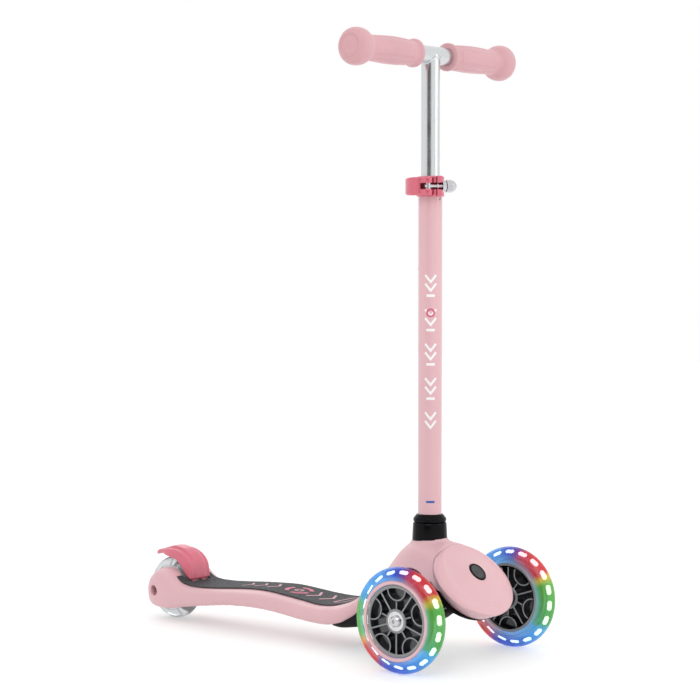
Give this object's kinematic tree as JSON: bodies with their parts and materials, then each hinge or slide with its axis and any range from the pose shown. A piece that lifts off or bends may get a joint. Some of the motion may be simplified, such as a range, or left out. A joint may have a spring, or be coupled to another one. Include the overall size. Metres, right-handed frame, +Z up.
{
  "type": "lean-to-steer kick scooter",
  "caption": "Child's lean-to-steer kick scooter with a height-adjustable T-bar, light-up front wheels, a moulded deck and a rear foot brake.",
  "frame": {"origin": "on the ground, midway along the overall length and on the middle plane", "axes": "+X forward, +Y to the rider's left, +Z up along the steering column"},
  "size_m": [0.5572, 0.2968, 0.7252],
  "materials": {
    "pink_moulding": "smooth satin moulding",
    "coral_moulding": "satin moulding",
    "pad": "coarse textured tread",
    "black_moulding": "fine spark texture",
    "black_cast": "painted casting",
    "screw_steel": "zinc plated",
    "dark_steel": "blackened",
    "spring_steel": "drawn wire",
    "bronze_bush": "sintered",
    "grey_button": "fine texture",
    "pink_tube": "pale pink satin paint",
    "silver_tube": "polished and clear anodised",
    "white_plastic": "natural acetal",
    "coral_clamp": "anodised casting",
    "grip_rubber": "soft satin",
    "clear_tyre": "translucent glossy polyurethane",
    "hub_grey": "translucent grey moulding",
    "ring_pink": "satin",
    "light_bar": "translucent light guide",
    "bearing_steel": "polished",
    "rear_tyre": "translucent polyurethane"
  },
  "bodies": {
    "deck": {"deck_body": "pink_moulding", "grip_pad": "pad", "belly_pan": "black_moulding", "belly_screws": "dark_steel", "front_cover": "pink_moulding", "cover_back": "black_moulding", "cover_screws": "dark_steel", "button_bezel": "black_moulding", "lock_spring": "spring_steel", "steering_head": "black_cast", "head_screws": "dark_steel", "kingpin": "screw_steel", "kingpin_nut": "screw_steel", "kingpin_washer": "screw_steel", "lean_springs": "spring_steel", "column_collar": "black_moulding", "collar_ring": "black_moulding", "outer_tube": "pink_tube", "column_pin": "screw_steel", "tube_sleeve": "white_plastic", "clamp_collar": "coral_clamp", "lever_barrel": "screw_steel", "clamp_bolt": "screw_steel", "clamp_washers": "screw_steel", "rear_axle": "screw_steel", "rear_axle_nut": "screw_steel", "rear_spacers": "screw_steel", "brake_pin": "screw_steel", "brake_spring": "spring_steel"},
    "truck": {"truck": "black_cast", "pivot_bushes": "bronze_bush", "front_axles": "screw_steel", "front_washers": "screw_steel"},
    "front_wheel_left": {"front_tyre_left": "clear_tyre", "front_hub_left": "hub_grey", "front_ring_left": "ring_pink", "front_lights_left": "light_bar", "front_bearings_left": "bearing_steel", "front_spacer_left": "screw_steel"},
    "front_wheel_right": {"front_tyre_right": "clear_tyre", "front_hub_right": "hub_grey", "front_ring_right": "ring_pink", "front_lights_right": "light_bar", "front_bearings_right": "bearing_steel", "front_spacer_right": "screw_steel"},
    "rear_wheel": {"rear_tyre": "rear_tyre", "rear_hub": "hub_grey", "rear_bearings": "bearing_steel", "rear_wheel_spacer": "screw_steel"},
    "brake": {"brake_guard": "coral_moulding", "brake_shoe": "screw_steel"},
    "handlebar": {"handlebar": "silver_tube", "tube_glide": "white_plastic", "grip_left": "grip_rubber", "grip_right": "grip_rubber", "bar_plugs": "white_plastic"},
    "height_button": {"height_clip": "spring_steel"},
    "clamp_lever": {"clamp_lever": "coral_clamp"},
    "clamp_nut": {"clamp_nut": "coral_clamp"},
    "lock_button": {"lock_button": "grey_button"}
  },
  "joints": [
    {"name": "steer_lean", "type": "hinge", "parent": "deck", "child": "truck", "pos_m": [0.2459, 0, 0.0995], "axis": [0.7314, 0, 0.682], "range_deg": [-12, 12], "stiffness_Nm_per_rad": 60, "deforming": ["lean_springs"]},
    {"name": "front_wheel_left_spin", "type": "hinge", "parent": "truck", "child": "front_wheel_left", "pos_m": [0.2181, 0.1081, 0.0605], "axis": [0, 1, 0], "continuous": true},
    {"name": "front_wheel_right_spin", "type": "hinge", "parent": "truck", "child": "front_wheel_right", "pos_m": [0.2181, -0.1081, 0.0605], "axis": [0, 1, 0], "continuous": true},
    {"name": "rear_wheel_spin", "type": "hinge", "parent": "deck", "child": "rear_wheel", "pos_m": [-0.2386, 0, 0.04], "axis": [0, 1, 0], "continuous": true},
    {"name": "brake_press", "type": "hinge", "parent": "deck", "child": "brake", "pos_m": [-0.1839, 0, 0.045], "axis": [0, -1, 0], "range_deg": [0, 5.2], "stiffness_Nm_per_rad": 8, "springref_deg": -2.86, "deforming": ["brake_spring"]},
    {"name": "height_slide", "type": "slide", "parent": "deck", "child": "handlebar", "axis": [0, 0, 1], "range_m": [-0.05, 0.05], "deforming": ["height_clip"]},
    {"name": "height_button_press", "type": "slide", "parent": "handlebar", "child": "height_button", "axis": [1, 0, 0], "range_m": [0, 0.004], "stiffness_N_per_m": 2500, "springref_m": -0.001, "deforming": ["height_clip"]},
    {"name": "clamp_lever_swing", "type": "hinge", "parent": "deck", "child": "clamp_lever", "pos_m": [0.18795, -0.01907, 0.551], "axis": [0, 0, 1], "range_deg": [0, 110]},
    {"name": "clamp_nut_turn", "type": "hinge", "parent": "deck", "child": "clamp_nut", "pos_m": [0.202, 0.001, 0.551], "axis": [0.5736, 0.8192, 0], "range_deg": [-180, 180]},
    {"name": "lock_button_press", "type": "slide", "parent": "deck", "child": "lock_button", "axis": [-0.7314, 0, -0.682], "range_m": [0, 0.0025], "stiffness_N_per_m": 2000, "springref_m": -0.001, "deforming": ["lock_spring"]}
  ]
}
